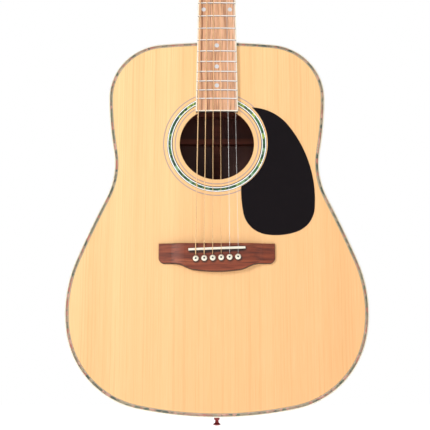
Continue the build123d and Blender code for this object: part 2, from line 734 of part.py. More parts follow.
def half_ellipse(half_width, depth):
    """Half an ellipse that hangs from its straight edge towards +Y of its sketch."""
    with BuildSketch() as face:
        Ellipse(half_width, depth)
        with Locations((0, -depth)):
            Rectangle(2 * half_width + 2, 2 * depth, mode=Mode.SUBTRACT)
    return face.sketch


def head_plane(height, s=0.0):
    """A plane parallel to the headstock's face at a height over it; its origin is s up from the nut."""
    tilt = radians(HEAD_ANGLE)
    outward = Vector(0, -cos(tilt), sin(tilt))
    upward = Vector(0, sin(tilt), cos(tilt))
    return Plane(origin=Vector(0, 0, NUT_LENGTH) + upward * s + outward * height,
                 x_dir=(1, 0, 0), z_dir=outward)


def head_axis():
    """The headstock's normal, to sort edges by their height over its face."""
    plane = head_plane(0)
    return Axis(plane.origin, plane.z_dir)


def head_prism(face, height_from, height_to):
    with BuildPart() as solid:
        with BuildSketch(head_plane(height_from)):
            add(face)
        extrude(amount=height_to - height_from)
    return solid.part


def head_half_width(s):
    return 33.0 + 0.03 * (s - 30)


def head_face():
    """Outline of the headstock: shoulders that swell from the nut, straight sides and a shallow crest."""
    top = HEAD_LENGTH
    with BuildSketch() as face:
        with BuildLine():
            base = Line((0, 0), (NUT_WIDTH / 2, 0))
            swell = Spline(base @ 1, (head_half_width(30), 30), tangents=((0.15, 1), (0.15, 1)))
            side = Line(swell @ 1, (head_half_width(top - 8), top - 8))
            crest = ThreePointArc(side @ 1, (head_half_width(top) * 0.5, top - 3), (0, top))
            mirror(about=Plane.YZ)
        make_face()
    return face.sketch


def post_places():
    """Side (-1 bass, 1 treble), x and s of each string's post, first string to sixth."""
    return ([(1, x, s) for x, s in POSTS] + [(-1, x, s) for x, s in reversed(POSTS)])


def tuner_holes(height_from, height_to):
    with BuildSketch() as face:
        for side, x, s in post_places():
            with Locations((side * x, s)):
                Circle(TUNER_HOLE_RADIUS)
    return head_prism(face.sketch, height_from, height_to)


def make_shaft():
    """The neck's shaft between the nut and the body, a tapering half oval."""
    with BuildPart() as shaft:
        for z, depth in ((NUT_LENGTH, SHAFT_NUT_DEPTH), (BODY_TOP_Z, SHAFT_HEEL_DEPTH)):
            with BuildSketch(Plane.XY.offset(z)):
                add(half_ellipse(board_half_width(min(z, 0)), depth))
        loft()
    return shaft.part


def make_heel():
    """The heel, which narrows as it runs down the end of the body."""
    with BuildPart() as heel:
        for depth, half_width, length in HEEL_SECTIONS + [(HEEL_DEPTH, *HEEL_TIP)]:
            with BuildSketch(Plane.XZ.offset(-depth)):
                with Locations((0, BODY_TOP_Z)):
                    add(half_ellipse(half_width, length))
        loft()
    return heel.part


def make_volute():
    """The swelling that carries the shaft into the back of the headstock."""
    with BuildPart() as volute:
        with BuildSketch(Plane.XY.offset(NUT_LENGTH)):
            add(half_ellipse(NUT_WIDTH / 2, SHAFT_NUT_DEPTH))
        tilt = radians(HEAD_ANGLE)
        across = Plane(origin=head_plane(0, 38).origin, x_dir=(1, 0, 0), z_dir=(0, sin(tilt), cos(tilt)))
        with BuildSketch(across):
            add(half_ellipse(19, HEAD_THICKNESS - 0.5))
        loft()
    return volute.part


def truss_bore():
    """The round way for the truss rod past the neck's end."""
    with BuildPart() as bore:
        with BuildSketch(Plane.XY.offset(BODY_TOP_Z)):
            with Locations((0, ROD_DEPTH - ROD_WIDTH / 2)):
                Circle(ROD_WIDTH / 2)
        extrude(amount=ROD_END_Z - BODY_TOP_Z)
    return bore.part


def head_wood():
    with BuildPart() as wood:
        add(head_prism(head_face(), -HEAD_THICKNESS, 0))
        fillet(wood.edges().group_by(head_axis())[0], HEAD_EDGE_FILLET)
    return wood.part


def make_neck():
    with BuildPart() as neck:
        add(make_shaft())
        add(make_heel())
        add(make_volute())
        add(head_wood())
        add(dovetail(0, DOVETAIL_DEPTH))
        add(block(ROD_WIDTH, 0, ROD_DEPTH, -8, BODY_TOP_Z - 20), mode=Mode.SUBTRACT)
        add(tuner_holes(-HEAD_THICKNESS - 1, 1), mode=Mode.SUBTRACT)
    write(neck.part, "neck")
    with BuildPart() as heel_cap:
        with BuildSketch(Plane.XZ.offset(-HEEL_DEPTH)):
            with Locations((0, BODY_TOP_Z)):
                add(half_ellipse(*HEEL_TIP))
        extrude(amount=-HEEL_CAP_THICKNESS)
    write(heel_cap.part, "heel_cap")
    with BuildPart() as veneer:
        add(head_prism(head_face(), 0, VENEER_THICKNESS))
        chamfer(veneer.edges().group_by(head_axis())[-1], VENEER_CHAMFER)
        add(tuner_holes(-1, VENEER_THICKNESS + 1), mode=Mode.SUBTRACT)
        add(block(NUT_WIDTH + 10, -20, 20, NUT_LENGTH, NUT_LENGTH - 10), mode=Mode.SUBTRACT)
    write(veneer.part, "headstock_veneer")


def make_truss_rod():
    """A square rod in the neck whose round end carries the adjusting nut near the sound hole."""
    with BuildPart() as truss_rod:
        add(block(ROD_WIDTH, 0, ROD_DEPTH, -8, BODY_TOP_Z))
        add(truss_bore())
        with BuildSketch(Plane.XY.offset(ROD_END_Z)):
            with Locations((0, ROD_DEPTH - ROD_WIDTH / 2)):
                Circle(2.4)
        extrude(amount=-7)
        add(block(ROD_WIDTH + 1, -1, TOP_THICKNESS, BODY_TOP_Z, ROD_END_Z), mode=Mode.SUBTRACT)
    write(truss_rod.part, "truss_rod")
    with BuildPart() as nut:
        with BuildSketch(Plane.XY.offset(ROD_END_Z - 0.3)):
            with Locations((0, ROD_DEPTH - ROD_WIDTH / 2)):
                Circle(4.5)
                Circle(2.4 + RUN_CLEARANCE, mode=Mode.SUBTRACT)
        extrude(amount=-7)
        with BuildSketch(Plane.XY.offset(ROD_END_Z - 7.3)):
            with Locations((0, ROD_DEPTH - ROD_WIDTH / 2)):
                Circle(4.5)
                RegularPolygon(2.0, 6, major_radius=False, mode=Mode.SUBTRACT)
        extrude(amount=7.3 - ROD_NUT_LENGTH)
    write(nut.part, "truss_rod_nut")


def make_pickguard():
    """A thin sheet beside the sound hole, whose inner edge follows the hole."""
    heading = (cos(radians(PICKGUARD_HEADING)), sin(radians(PICKGUARD_HEADING)))
    outer = half_chain(PICKGUARD_START, heading, PICKGUARD_ARCS)
    angle = radians(PICKGUARD_INNER_MIDDLE)
    middle = (PICKGUARD_INNER_RADIUS * cos(angle), HOLE_Z + PICKGUARD_INNER_RADIUS * sin(angle))
    with BuildSketch() as face:
        with BuildLine():
            add(outer)
            ThreePointArc(outer[-1] @ 1, middle, PICKGUARD_START)
        make_face()
    with BuildPart() as pickguard:
        add(prism(face.sketch, -PICKGUARD_THICKNESS, 0))
        chamfer(pickguard.faces().sort_by(Axis.Y)[0].edges(), PICKGUARD_CHAMFER)
    write(pickguard.part, "pickguard")


# ---- Tuners ----

def make_tuner_housings():
    """Six closed gear cases behind the headstock, each with a collar for its key's shaft."""
    length_x, length_s, depth = HOUSING_SIZE
    with BuildPart() as housings:
        for side, x, s in post_places():
            centre = (side * x, s - WORM_OFFSET / 2)
            with BuildSketch(head_plane(-HEAD_THICKNESS)):
                with Locations(centre):
                    RectangleRounded(length_x, length_s, 4)
            extrude(amount=-depth)
        fillet(housings.edges().group_by(head_axis())[0], 2)
        for side, x, s in post_places():
            with BuildSketch(key_plane(side, x + length_x / 2 - 1, s)):
                Circle(4.2)
            extrude(amount=head_half_width(s) - x - length_x / 2 + 3)
        for side, x, s in post_places():
            with BuildSketch(head_plane(-HEAD_THICKNESS)):
                with Locations((side * x, s)):
                    Circle(POST_RADIUS + RUN_CLEARANCE)
            extrude(amount=-depth + 3, mode=Mode.SUBTRACT)
            with BuildSketch(head_plane(-HEAD_THICKNESS - 1.8)):
                with Locations((side * x, s)):
                    Circle(5.0)
            extrude(amount=-7.4, mode=Mode.SUBTRACT)
            with BuildSketch(key_plane(side, x - 7.2, s)):
                Circle(2.3)
            extrude(amount=14.4, mode=Mode.SUBTRACT)
            with BuildSketch(key_plane(side, x + 7, s)):
                Circle(SHAFT_RADIUS + RUN_CLEARANCE)
            extrude(amount=30, mode=Mode.SUBTRACT)
    write(housings.part, "tuner_housings")


def key_plane(side, x, s):
    """A plane across a key's shaft that looks away from the headstock, x from the centre line."""
    shaft = head_plane(WORM_HEIGHT, s - WORM_OFFSET)
    return Plane(origin=shaft.origin + Vector(side * x, 0, 0), x_dir=shaft.y_dir, z_dir=(side, 0, 0))


def make_tuner_trim():
    with BuildPart() as bushings:
        for side, x, s in post_places():
            for height, length, radius in ((-HEAD_THICKNESS, HEAD_THICKNESS + VENEER_THICKNESS,
                                            TUNER_HOLE_RADIUS), (VENEER_THICKNESS, 0.9, 7.3)):
                with BuildSketch(head_plane(height)):
                    with Locations((side * x, s)):
                        Circle(radius)
                        Circle(POST_RADIUS + RUN_CLEARANCE, mode=Mode.SUBTRACT)
                extrude(amount=length)
            with BuildSketch(head_plane(VENEER_THICKNESS + 0.9)):
                with Locations((side * x, s)):
                    RegularPolygon(5.4, 6, major_radius=False)
                    Circle(POST_RADIUS + RUN_CLEARANCE, mode=Mode.SUBTRACT)
            extrude(amount=2.2)
    write(bushings.part, "tuner_bushings")
    with BuildPart() as screws:
        for side, x, s in post_places():
            with BuildSketch(head_plane(-HEAD_THICKNESS)):
                with Locations((side * x, s + HOUSING_SIZE[1] / 2 - WORM_OFFSET / 2 + 2.2)):
                    Circle(2.0)
            extrude(amount=-1.6)
    write(screws.part, "tuner_screws")


def make_string_posts():
    """Posts with a worm wheel at the foot and a waist that holds the string's windings."""
    for index, (side, x, s) in enumerate(post_places()):
        gauge = STRING_GAUGES[index]
        wound = WINDING_TURNS * gauge / 2
        wheel_top = WORM_HEIGHT + WHEEL_THICKNESS / 2
        waist_from = WINDING_HEIGHT - POST_WAIST_HEIGHT / 2
        waist_to = WINDING_HEIGHT + POST_WAIST_HEIGHT / 2
        steps = [(WORM_HEIGHT - WHEEL_THICKNESS / 2, wheel_top, WHEEL_RADIUS),
                 (wheel_top, waist_from, POST_RADIUS), (waist_from, waist_to, POST_WAIST),
                 (waist_to, POST_TOP, POST_RADIUS),
                 (WINDING_HEIGHT - wound, WINDING_HEIGHT + wound, POST_WAIST + gauge)]
        with BuildPart() as post:
            for height_from, height_to, radius in steps:
                with BuildSketch(head_plane(height_from)):
                    with Locations((side * x, s)):
                        Circle(radius)
                extrude(amount=height_to - height_from)
            chamfer(post.edges().group_by(head_axis())[-1], POST_CHAMFER)
        write(post.part, f"string_post_{index + 1}")


def button(side, x, s):
    """A flat rounded button centred on its shaft."""
    with BuildPart() as blank:
        with BuildSketch(head_plane(WORM_HEIGHT - BUTTON_THICKNESS / 2)):
            with Locations((side * x, s - WORM_OFFSET)):
                RectangleRounded(BUTTON_LENGTH, BUTTON_WIDTH, BUTTON_CORNER)
        extrude(amount=BUTTON_THICKNESS)
        levels = blank.edges().group_by(head_axis())
        fillet(levels[0] + levels[-1], BUTTON_FILLET)
    return blank.part


def make_tuner_keys():
    """Worm shafts with a flat button outside the headstock."""
    for index, (side, x, s) in enumerate(post_places()):
        reach = head_half_width(s) - x + 4.5
        with BuildPart() as key:
            with BuildSketch(key_plane(side, x - WORM_LENGTH / 2, s)):
                Circle(WORM_RADIUS)
            extrude(amount=WORM_LENGTH)
            with BuildSketch(key_plane(side, x + WORM_LENGTH / 2, s)):
                Circle(SHAFT_RADIUS)
            extrude(amount=reach - WORM_LENGTH / 2)
            with BuildSketch(key_plane(side, x + reach, s)):
                Circle(3.4)
            extrude(amount=1.5)
            add(button(side, x + reach + 1.2 + BUTTON_LENGTH / 2, s))
        write(key.part, f"tuner_key_{index + 1}")


# ---- Strings ----

def head_point(x, s, height):
    spot = head_plane(height, s).origin
    return Vector(x, spot.Y, spot.Z)


def post_tangent(index):
    """Where a string that leaves the nut meets its windings, on the inner side of the post."""
    side, x, s = post_places()[index]
    gauge = STRING_GAUGES[index]
    start = (spread_x(index, NUT_SPREAD), -2.0)
    reach = 2.4 + gauge + gauge / 2 + 0.1
    away = hypot(side * x - start[0], s - start[1])
    run = sqrt(away**2 - reach**2)
    bearing = atan2(side * x - start[0], s - start[1]) - side * asin(reach / away)
    return head_point(start[0] + run * sin(bearing), start[1] + run * cos(bearing), WINDING_HEIGHT)


def make_strings():
    """Each string from its ball end under the bridge plate over saddle and nut to its post."""
    for index, gauge in enumerate(STRING_GAUGES):
        at_nut = spread_x(index, NUT_SPREAD)
        at_saddle = spread_x(index, SADDLE_SPREAD)
        pin_x, pin_z = pin_place(index)
        down_z = pin_z + PIN_BORE_RADIUS + gauge / 2 + 0.1
        over = Vector(at_saddle, crowning(at_saddle) - SADDLE_TOP - gauge / 2 - 0.12,
                      saddle_z(at_saddle) - SADDLE_WIDTH / 2 - 0.1)
        route = [Vector(pin_x, TOP_THICKNESS + PLATE_THICKNESS + BALL_RADIUS, down_z),
                 Vector(pin_x, -BRIDGE_THICKNESS + 2.2, down_z), over,
                 Vector(at_nut, crowning(at_nut) - NUT_ACTION - gauge / 2, NUT_LENGTH - 0.4),
                 post_tangent(index)]
        with BuildPart() as string:
            with BuildLine():
                path = FilletPolyline(*route, radius=[2.2, 3.0, 5.0])
            with BuildSketch(Plane(origin=path @ 0, z_dir=path % 0)):
                Circle(gauge / 2)
            sweep(path=path)
            ball = Vector(pin_x, route[0].Y, pin_z + 4.2)
            with BuildSketch(Plane(origin=ball, x_dir=(0, 1, 0), z_dir=(1, 0, 0))):
                Circle(BALL_RADIUS)
            extrude(amount=1.2, both=True)
        write(string.part, f"string_{index + 1}")


os.makedirs("parts", exist_ok=True)
make_soundboard()
make_rosette()
make_top_edge()
make_back()
make_sides()
make_linings()
make_blocks()
make_braces()
make_back_braces()
make_end_pin()
make_bridge()
make_bridge_pins()
make_fingerboard()
make_nut()
make_neck()
make_truss_rod()
make_pickguard()
make_tuner_housings()
make_tuner_trim()
make_string_posts()
make_tuner_keys()
make_strings()
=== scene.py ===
import json
from math import cos, pi, radians, sin

import bmesh
import bpy
from mathutils import Matrix, Vector


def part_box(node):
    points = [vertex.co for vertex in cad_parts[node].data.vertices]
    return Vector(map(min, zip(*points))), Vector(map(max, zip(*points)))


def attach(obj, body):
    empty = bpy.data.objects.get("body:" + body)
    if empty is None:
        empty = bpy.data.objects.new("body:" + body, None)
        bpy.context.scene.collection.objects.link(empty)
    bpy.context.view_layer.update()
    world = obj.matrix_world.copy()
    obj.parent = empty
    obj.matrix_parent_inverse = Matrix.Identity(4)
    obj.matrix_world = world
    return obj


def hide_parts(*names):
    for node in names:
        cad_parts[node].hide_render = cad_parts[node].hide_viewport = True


# Looks for the acoustic guitar. Everything is in metres in the row frame: +Z up the neck, +X treble
# side, -Y out of the soundboard, origin at the nut end of the fingerboard in the soundboard's face plane.

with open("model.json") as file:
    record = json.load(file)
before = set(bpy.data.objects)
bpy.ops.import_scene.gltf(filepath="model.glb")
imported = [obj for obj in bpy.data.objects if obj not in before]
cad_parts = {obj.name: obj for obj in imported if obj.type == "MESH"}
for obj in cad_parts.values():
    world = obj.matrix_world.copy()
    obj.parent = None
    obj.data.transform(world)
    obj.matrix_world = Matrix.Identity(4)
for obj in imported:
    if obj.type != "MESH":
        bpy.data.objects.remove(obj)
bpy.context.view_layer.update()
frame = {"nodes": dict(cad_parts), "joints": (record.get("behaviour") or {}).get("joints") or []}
NODES = frame["nodes"]
MM = 0.001


# ---- Camera and lights ----

CAMERA_PLACE = (-0.0025, -1.1682, -0.8453)
CAMERA_PITCH = radians(11.57)
LENS_MM = 74.86
SENSOR_MM = 36.0


def make_camera():
    """The photograph's view: level with the tail, looking up a little."""
    camera = bpy.data.objects.new("camera", bpy.data.cameras.new("camera"))
    camera.data.lens = LENS_MM
    camera.data.sensor_width = SENSOR_MM
    camera.location = CAMERA_PLACE
    camera.rotation_euler = (pi / 2 + CAMERA_PITCH, 0, 0)
    bpy.context.scene.collection.objects.link(camera)
    bpy.context.scene.camera = camera


def make_area_light(name, place, target, size, power, colour=(1, 1, 1)):
    """A rectangular lamp that faces its target."""
    light = bpy.data.lights.new(name, "AREA")
    light.shape = "RECTANGLE"
    light.size, light.size_y = size
    light.energy = power
    light.color = colour
    lamp = bpy.data.objects.new(name, light)
    lamp.location = place
    lamp.rotation_euler = (Vector(target) - Vector(place)).to_track_quat("-Z", "Y").to_euler()
    bpy.context.scene.collection.objects.link(lamp)


# ---- Node helpers ----

def rgb(red, green, blue):
    """An sRGB colour, 0 to 255, as a linear colour for a shader."""
    def linear(value):
        value /= 255
        return value / 12.92 if value <= 0.04045 else ((value + 0.055) / 1.055) ** 2.4
    return (linear(red), linear(green), linear(blue), 1.0)


def node(tree, kind, inputs=None, **settings):
    """A new shader node; an input given as a socket is linked, any other is set."""
    made = tree.nodes.new(kind)
    for key, value in settings.items():
        setattr(made, key, value)
    for key, value in (inputs or {}).items():
        if isinstance(value, bpy.types.NodeSocket):
            tree.links.new(value, made.inputs[key])
        else:
            made.inputs[key].default_value = value
    return made


def new_material(name, roughness, coat=0.0, coat_roughness=0.05, metallic=0.0, specular=0.5):
    """A material with its node tree and its shader."""
    material = bpy.data.materials.new(name)
    material.use_nodes = True
    shader = material.node_tree.nodes["Principled BSDF"]
    shader.inputs["Roughness"].default_value = roughness
    shader.inputs["Coat Weight"].default_value = coat
    shader.inputs["Coat Roughness"].default_value = coat_roughness
    shader.inputs["Metallic"].default_value = metallic
    shader.inputs["Specular IOR Level"].default_value = specular
    return material, material.node_tree, shader


def ramp(tree, factor, stops, interpolation="LINEAR"):
    """A colour ramp; stops are (position, colour) pairs."""
    made = node(tree, "ShaderNodeValToRGB", {"Fac": factor})
    made.color_ramp.interpolation = interpolation
    elements = made.color_ramp.elements
    while len(elements) < len(stops):
        elements.new(0.5)
    for element, (position, colour) in zip(elements, stops):
        element.position = position
        element.color = colour
    return made.outputs["Color"]


def stretched(tree, scale, warp=0.0, warp_scale=12.0, matched=False):
    """Object coordinates times scale on each axis, bent a little by a slow noise.

    Matched boards are mirror images on the two sides of the centre line."""
    place = node(tree, "ShaderNodeTexCoord").outputs["Object"]
    if matched:
        halves = node(tree, "ShaderNodeSeparateXYZ", {0: place})
        place = node(tree, "ShaderNodeCombineXYZ", {
            0: maths(tree, "ABSOLUTE", halves.outputs["X"]), 1: halves.outputs["Y"],
            2: halves.outputs["Z"]}).outputs[0]
    if warp:
        bend = node(tree, "ShaderNodeTexNoise", {"Vector": place, "Scale": warp_scale, "Detail": 2.0})
        centred = node(tree, "ShaderNodeVectorMath", {0: bend.outputs["Color"], 1: (0.5, 0.5, 0.5)},
                       operation="SUBTRACT")
        moved = node(tree, "ShaderNodeVectorMath", {0: centred.outputs[0], "Scale": warp}, operation="SCALE")
        place = node(tree, "ShaderNodeVectorMath", {0: place, 1: moved.outputs[0]}).outputs[0]
    return node(tree, "ShaderNodeVectorMath", {0: place, 1: scale}, operation="MULTIPLY").outputs[0]


def grey(level):
    return (level, level, level, 1.0)


def darker(colour, share):
    """A colour scaled down to a share of its brightness."""
    return tuple(share * value for value in colour[:3]) + (1.0,)


def mask(tree, value, *stops):
    """A ramp of greys; stops are (position, level) pairs."""
    return ramp(tree, value, [(position, grey(level)) for position, level in stops])


def noise(tree, vector, scale=1.0, detail=4.0, roughness=0.55):
    """Smooth noise from 0 to 1."""
    made = node(tree, "ShaderNodeTexNoise",
                {"Vector": vector, "Scale": scale, "Detail": detail, "Roughness": roughness})
    return made.outputs["Fac"]


def mix(tree, factor, first, second):
    """A colour between the first, at 0, and the second, at 1."""
    made = node(tree, "ShaderNodeMix", {0: factor, 6: first, 7: second}, data_type="RGBA")
    return made.outputs[2]


def maths(tree, operation, first, second=0.0, third=0.0):
    """The result of one arithmetic operation."""
    return node(tree, "ShaderNodeMath", {0: first, 1: second, 2: third}, operation=operation).outputs[0]


def bump(tree, shader, height, strength, distance):
    """Fine relief on a shader."""
    made = node(tree, "ShaderNodeBump", {"Height": height, "Strength": strength, "Distance": distance})
    tree.links.new(made.outputs["Normal"], shader.inputs["Normal"])


# ---- Materials ----

def make_spruce():
    """Pale close-grained top: fine dark winter lines along Z, broad soft bands, and a painted light falloff:
    pale yellow at the upper left, where the key light falls, warmer and darker orange towards the lower
    right.
    """
    material, tree, shader = new_material("spruce", 0.42, coat=0.25, coat_roughness=0.12, specular=0.3)
    lines = noise(tree, stretched(tree, (520, 60, 1.6), 0.004, 5, True), detail=3.0)
    bands = noise(tree, stretched(tree, (34, 4, 0.35), 0.01, 3, True), detail=4.0)
    fibres = noise(tree, stretched(tree, (1900, 300, 22)), detail=2.0)
    place = node(tree, "ShaderNodeSeparateXYZ", {0: node(tree, "ShaderNodeTexCoord").outputs["Object"]})
    # Painted light falloff: the base colour goes from pale at the upper left to darker orange at the lower
    # right.
    across = maths(tree, "MULTIPLY_ADD", place.outputs["X"], 2.2, 0.5)
    down = maths(tree, "MULTIPLY_ADD", place.outputs["Z"], -1.6, -0.5)
    drift = maths(tree, "MULTIPLY", maths(tree, "ADD", across, down), 0.5)
    base = ramp(tree, drift, [(0.1, rgb(253, 216, 158)), (0.5, rgb(253, 204, 146)),
                              (0.95, rgb(253, 190, 132))])
    banded = mix(tree, mask(tree, bands, (0.35, 0), (0.7, 0.55)), base, rgb(240, 184, 124))
    lined = mix(tree, mask(tree, lines, (0.50, 0), (0.72, 0.42)), banded, rgb(226, 160, 98))
    fibred = mix(tree, mask(tree, fibres, (0.4, 0), (0.8, 0.25)), lined, rgb(255, 232, 186))
    tree.links.new(fibred, shader.inputs["Base Color"])
    bump(tree, shader, lines, 0.12, 0.0002)
    return material


CORNER_REACH = 4.5 * MM
OPEN_SIDE = (-0.35, -0.6, 0.72)  # where light comes from, so corners under other parts go dark


def facing(tree, axis):
    """How far the surface faces along an axis, -1 to 1."""
    normal = node(tree, "ShaderNodeNewGeometry").outputs["Normal"]
    return node(tree, "ShaderNodeSeparateXYZ", {0: normal}).outputs[axis]


def halved(tree, value):
    """A value from -1 to 1, brought to 0 to 1."""
    return maths(tree, "MULTIPLY_ADD", value, 0.5, 0.5)


def make_wood(name, stops, scale, line_colour, line_strength, roughness=0.45, coat=0.0, warp=0.006,
              pores=(900, 900, 30), pore_strength=0.25, unlacquered=None, matched=False,
              corners=None):
    """Wood with drifting figure, darker lines along the grain and fine pores.

    Faces that look towards the soundboard take the unlacquered colour, if there is one. The corners colour is
    painted shade: it gathers where other parts stand close and on faces that look down."""
    material, tree, shader = new_material(name, roughness, coat=coat, coat_roughness=0.06)
    figure = noise(tree, stretched(tree, scale, warp, 14, matched), detail=5.0, roughness=0.6)
    fine = noise(tree, stretched(tree, tuple(4.5 * value for value in scale), warp, 14, matched), detail=3.0)
    pore = noise(tree, stretched(tree, pores), detail=2.0)
    colour = ramp(tree, figure, stops)
    lined = mix(tree, mask(tree, fine, (0.5, 0), (0.68, line_strength)), colour, line_colour)
    wood = mix(tree, mask(tree, pore, (0.6, 0), (0.72, pore_strength)), lined, darker(line_colour, 0.35))
    if unlacquered:
        inner = maths(tree, "LESS_THAN", facing(tree, "Y"), -0.2)
        wood = mix(tree, inner, wood, mix(tree, 0.8, wood, unlacquered))
    if corners:
        open_side = node(tree, "ShaderNodeCombineXYZ", dict(enumerate(OPEN_SIDE))).outputs[0]
        nook_shade = node(tree, "ShaderNodeAmbientOcclusion", {"Distance": CORNER_REACH, "Normal": open_side},
                    samples=8).outputs["AO"]
        # Painted shade: the corners colour darkens the nooks that the ambient-occlusion node finds near other
        # parts.
        wood = mix(tree, mask(tree, nook_shade, (0.6, 1), (0.9, 0)), wood, corners)
        # Painted shade on faces that look down, away from the light above.
        wood = mix(tree, mask(tree, halved(tree, facing(tree, "Z")), (0.1, 0.7), (0.4, 0)), wood, corners)
    tree.links.new(wood, shader.inputs["Base Color"])
    bump(tree, shader, pore, 0.15, 0.0002)
    return material


def make_plastic(name, colour, roughness, coat=0.0, specular=0.5, speckle=0.05):
    """Moulded plastic, bone or lacquer with a faint cloudy variation."""
    material, tree, shader = new_material(name, roughness, coat=coat, specular=specular)
    cloud = noise(tree, stretched(tree, (60, 60, 60)), detail=4.0)
    tree.links.new(ramp(tree, cloud, [(0.3, colour), (0.8, darker(colour, 1 - 3 * speckle))]),
                   shader.inputs["Base Color"])
    fine = noise(tree, stretched(tree, (900, 900, 900)), detail=2.0)
    bump(tree, shader, fine, 0.04, 0.0001)
    return material


def make_underside_shaded(name, colour, dark, axis, limits, roughness, metallic=0.0):
    """A bright finish with painted shade: it goes dark where the surface faces backwards along an axis."""
    material, tree, shader = new_material(name, roughness, metallic=metallic)
    cloud = noise(tree, stretched(tree, (200, 200, 200)), detail=3.0)
    soft = ramp(tree, cloud, [(0.3, colour), (0.8, darker(colour, 0.9))])
    # Painted shade: faces turned away along the axis take the dark colour.
    turned = mask(tree, halved(tree, facing(tree, axis)), (limits[0], 1), (limits[1], 0))
    tree.links.new(mix(tree, turned, soft, dark), shader.inputs["Base Color"])
    bump(tree, shader, cloud, 0.03, 0.0001)
    return material


def make_metal(name, colour, roughness, brushed=(400, 400, 400), metallic=1.0):
    """Metal whose shade and roughness vary a little, as with wear."""
    material, tree, shader = new_material(name, roughness, metallic=metallic)
    wear = noise(tree, stretched(tree, brushed), detail=3.0)
    tree.links.new(ramp(tree, wear, [(0.35, colour), (0.8, darker(colour, 0.8))]),
                   shader.inputs["Base Color"])
    rough = node(tree, "ShaderNodeMapRange",
                 {"Value": wear, "To Min": roughness * 0.7, "To Max": roughness * 1.5})
    tree.links.new(rough.outputs["Result"], shader.inputs["Roughness"])
    return material


GREEN_SHELL = [(0.16, rgb(18, 34, 30)), (0.30, rgb(44, 94, 62)), (0.40, rgb(20, 44, 36)),
               (0.50, rgb(74, 134, 80)), (0.58, rgb(26, 56, 44)), (0.66, rgb(206, 220, 84)),
               (0.72, rgb(52, 106, 74)), (0.84, rgb(20, 38, 36)), (1.0, rgb(130, 170, 130))]
PALE_SHELL = [(0.16, rgb(70, 84, 74)), (0.28, rgb(112, 128, 104)), (0.40, rgb(196, 116, 104)),
              (0.50, rgb(148, 146, 122)), (0.60, rgb(216, 156, 140)), (0.70, rgb(92, 108, 92)),
              (0.82, rgb(176, 160, 134)), (1.0, rgb(78, 90, 80))]


def shell_colour(tree, vector, piece_scale, swirl_scale, colours):
    """Abalone: pieces of different hue, each crossed by fine wavy bands."""
    cells = node(tree, "ShaderNodeTexVoronoi", {"Vector": vector, "Scale": piece_scale, "Randomness": 1.0})
    hue = node(tree, "ShaderNodeSeparateColor", {0: cells.outputs["Color"]}).outputs[0]
    swirl = noise(tree, vector, swirl_scale, detail=3.0, roughness=0.65)
    drift = maths(tree, "ADD", maths(tree, "MULTIPLY", hue, 0.8), maths(tree, "MULTIPLY", swirl, 0.5))
    return ramp(tree, drift, colours)


def make_purfling_shell():
    """Shell laminate along the body's edge; U runs along the strip in metres."""
    material, tree, shader = new_material("purfling_shell", 0.25, coat=0.6, coat_roughness=0.08)
    along = node(tree, "ShaderNodeTexCoord").outputs["UV"]
    tree.links.new(shell_colour(tree, along, 160.0, 520.0, PALE_SHELL), shader.inputs["Base Color"])
    return material


HOLE_Z = -0.5071
ROSETTE_SPAN = (0.05, 0.08)
RING_TAN, RING_DARK, RING_WHITE = rgb(200, 168, 154), rgb(44, 36, 36), rgb(254, 254, 255)
SHELL_RING = (62.3, 65.7)        # radii in mm
RINGS = [(55.0, RING_TAN), (59.0, RING_DARK), (61.0, RING_WHITE), (SHELL_RING[0], RING_TAN),
         (SHELL_RING[1], RING_WHITE), (67.0, RING_DARK), (69.0, RING_TAN)]    # from this radius outwards


def make_rosette_shell():
    """Rings round the sound hole: lines and shell, told apart by their distance from its centre."""
    material, tree, shader = new_material("rosette_rings", 0.28, coat=0.6, coat_roughness=0.08)
    place = node(tree, "ShaderNodeTexCoord").outputs["Object"]
    offset = node(tree, "ShaderNodeVectorMath", {0: place, 1: (0, 0, HOLE_Z)}, operation="SUBTRACT")
    flat = node(tree, "ShaderNodeVectorMath", {0: offset.outputs[0], 1: (1, 0, 1)}, operation="MULTIPLY")
    radius = node(tree, "ShaderNodeVectorMath", {0: flat.outputs[0]}, operation="LENGTH").outputs["Value"]
    shell = shell_colour(tree, flat.outputs[0], 170.0, 420.0, GREEN_SHELL)
    first, last = ROSETTE_SPAN
    spot = node(tree, "ShaderNodeMapRange", {"Value": radius, "From Min": first, "From Max": last})
    rings = ramp(tree, spot.outputs["Result"],
                 [((edge * MM - first) / (last - first), colour) for edge, colour in RINGS], "CONSTANT")
    inside = maths(tree, "MULTIPLY", maths(tree, "GREATER_THAN", radius, SHELL_RING[0] * MM),
                   maths(tree, "LESS_THAN", radius, SHELL_RING[1] * MM))
    tree.links.new(mix(tree, inside, rings, shell), shader.inputs["Base Color"])
    return material


def make_wound(name, colour, dark, pitch):
    """Wire wound round a core: fine dark lines across the string, painted shade in the grooves between turns.
    """
    material, tree, shader = new_material(name, 0.32, metallic=0.3)
    place = node(tree, "ShaderNodeTexCoord").outputs["Object"]
    wave = node(tree, "ShaderNodeTexWave", {"Vector": place, "Scale": pi / (10 * pitch)},
                bands_direction="Z", wave_profile="SIN").outputs["Fac"]
    # The dark bands are painted shade in the grooves; the same wave gives the bump.
    tree.links.new(ramp(tree, wave, [(0.1, dark), (0.6, colour)]), shader.inputs["Base Color"])
    bump(tree, shader, wave, 0.5, 0.00005)
    return material


# ---- New pieces ----

BODY_TAIL_Z = -0.8699
# Half of the body's edge from the tail as arcs: radius in mm (below zero where the waist curves inwards)
# and degrees turned. The last arc follows from these.
BODY_ARCS = [(506, 11.6), (120.5, 68.8), (176, 31.7), (1308, 4.0), (-103.5, 36.8), (464, 9.3), (77, 86.0)]
PURFLING_FROM = 1.5 * MM
PURFLING_LINES = [(0.0, 0.35, "line_dark"), (0.35, 3.0, "shell"), (3.0, 3.4, "line_pale"),
                  (3.4, 3.8, "line_dark")]                  # from, to and kind, in mm across the strip


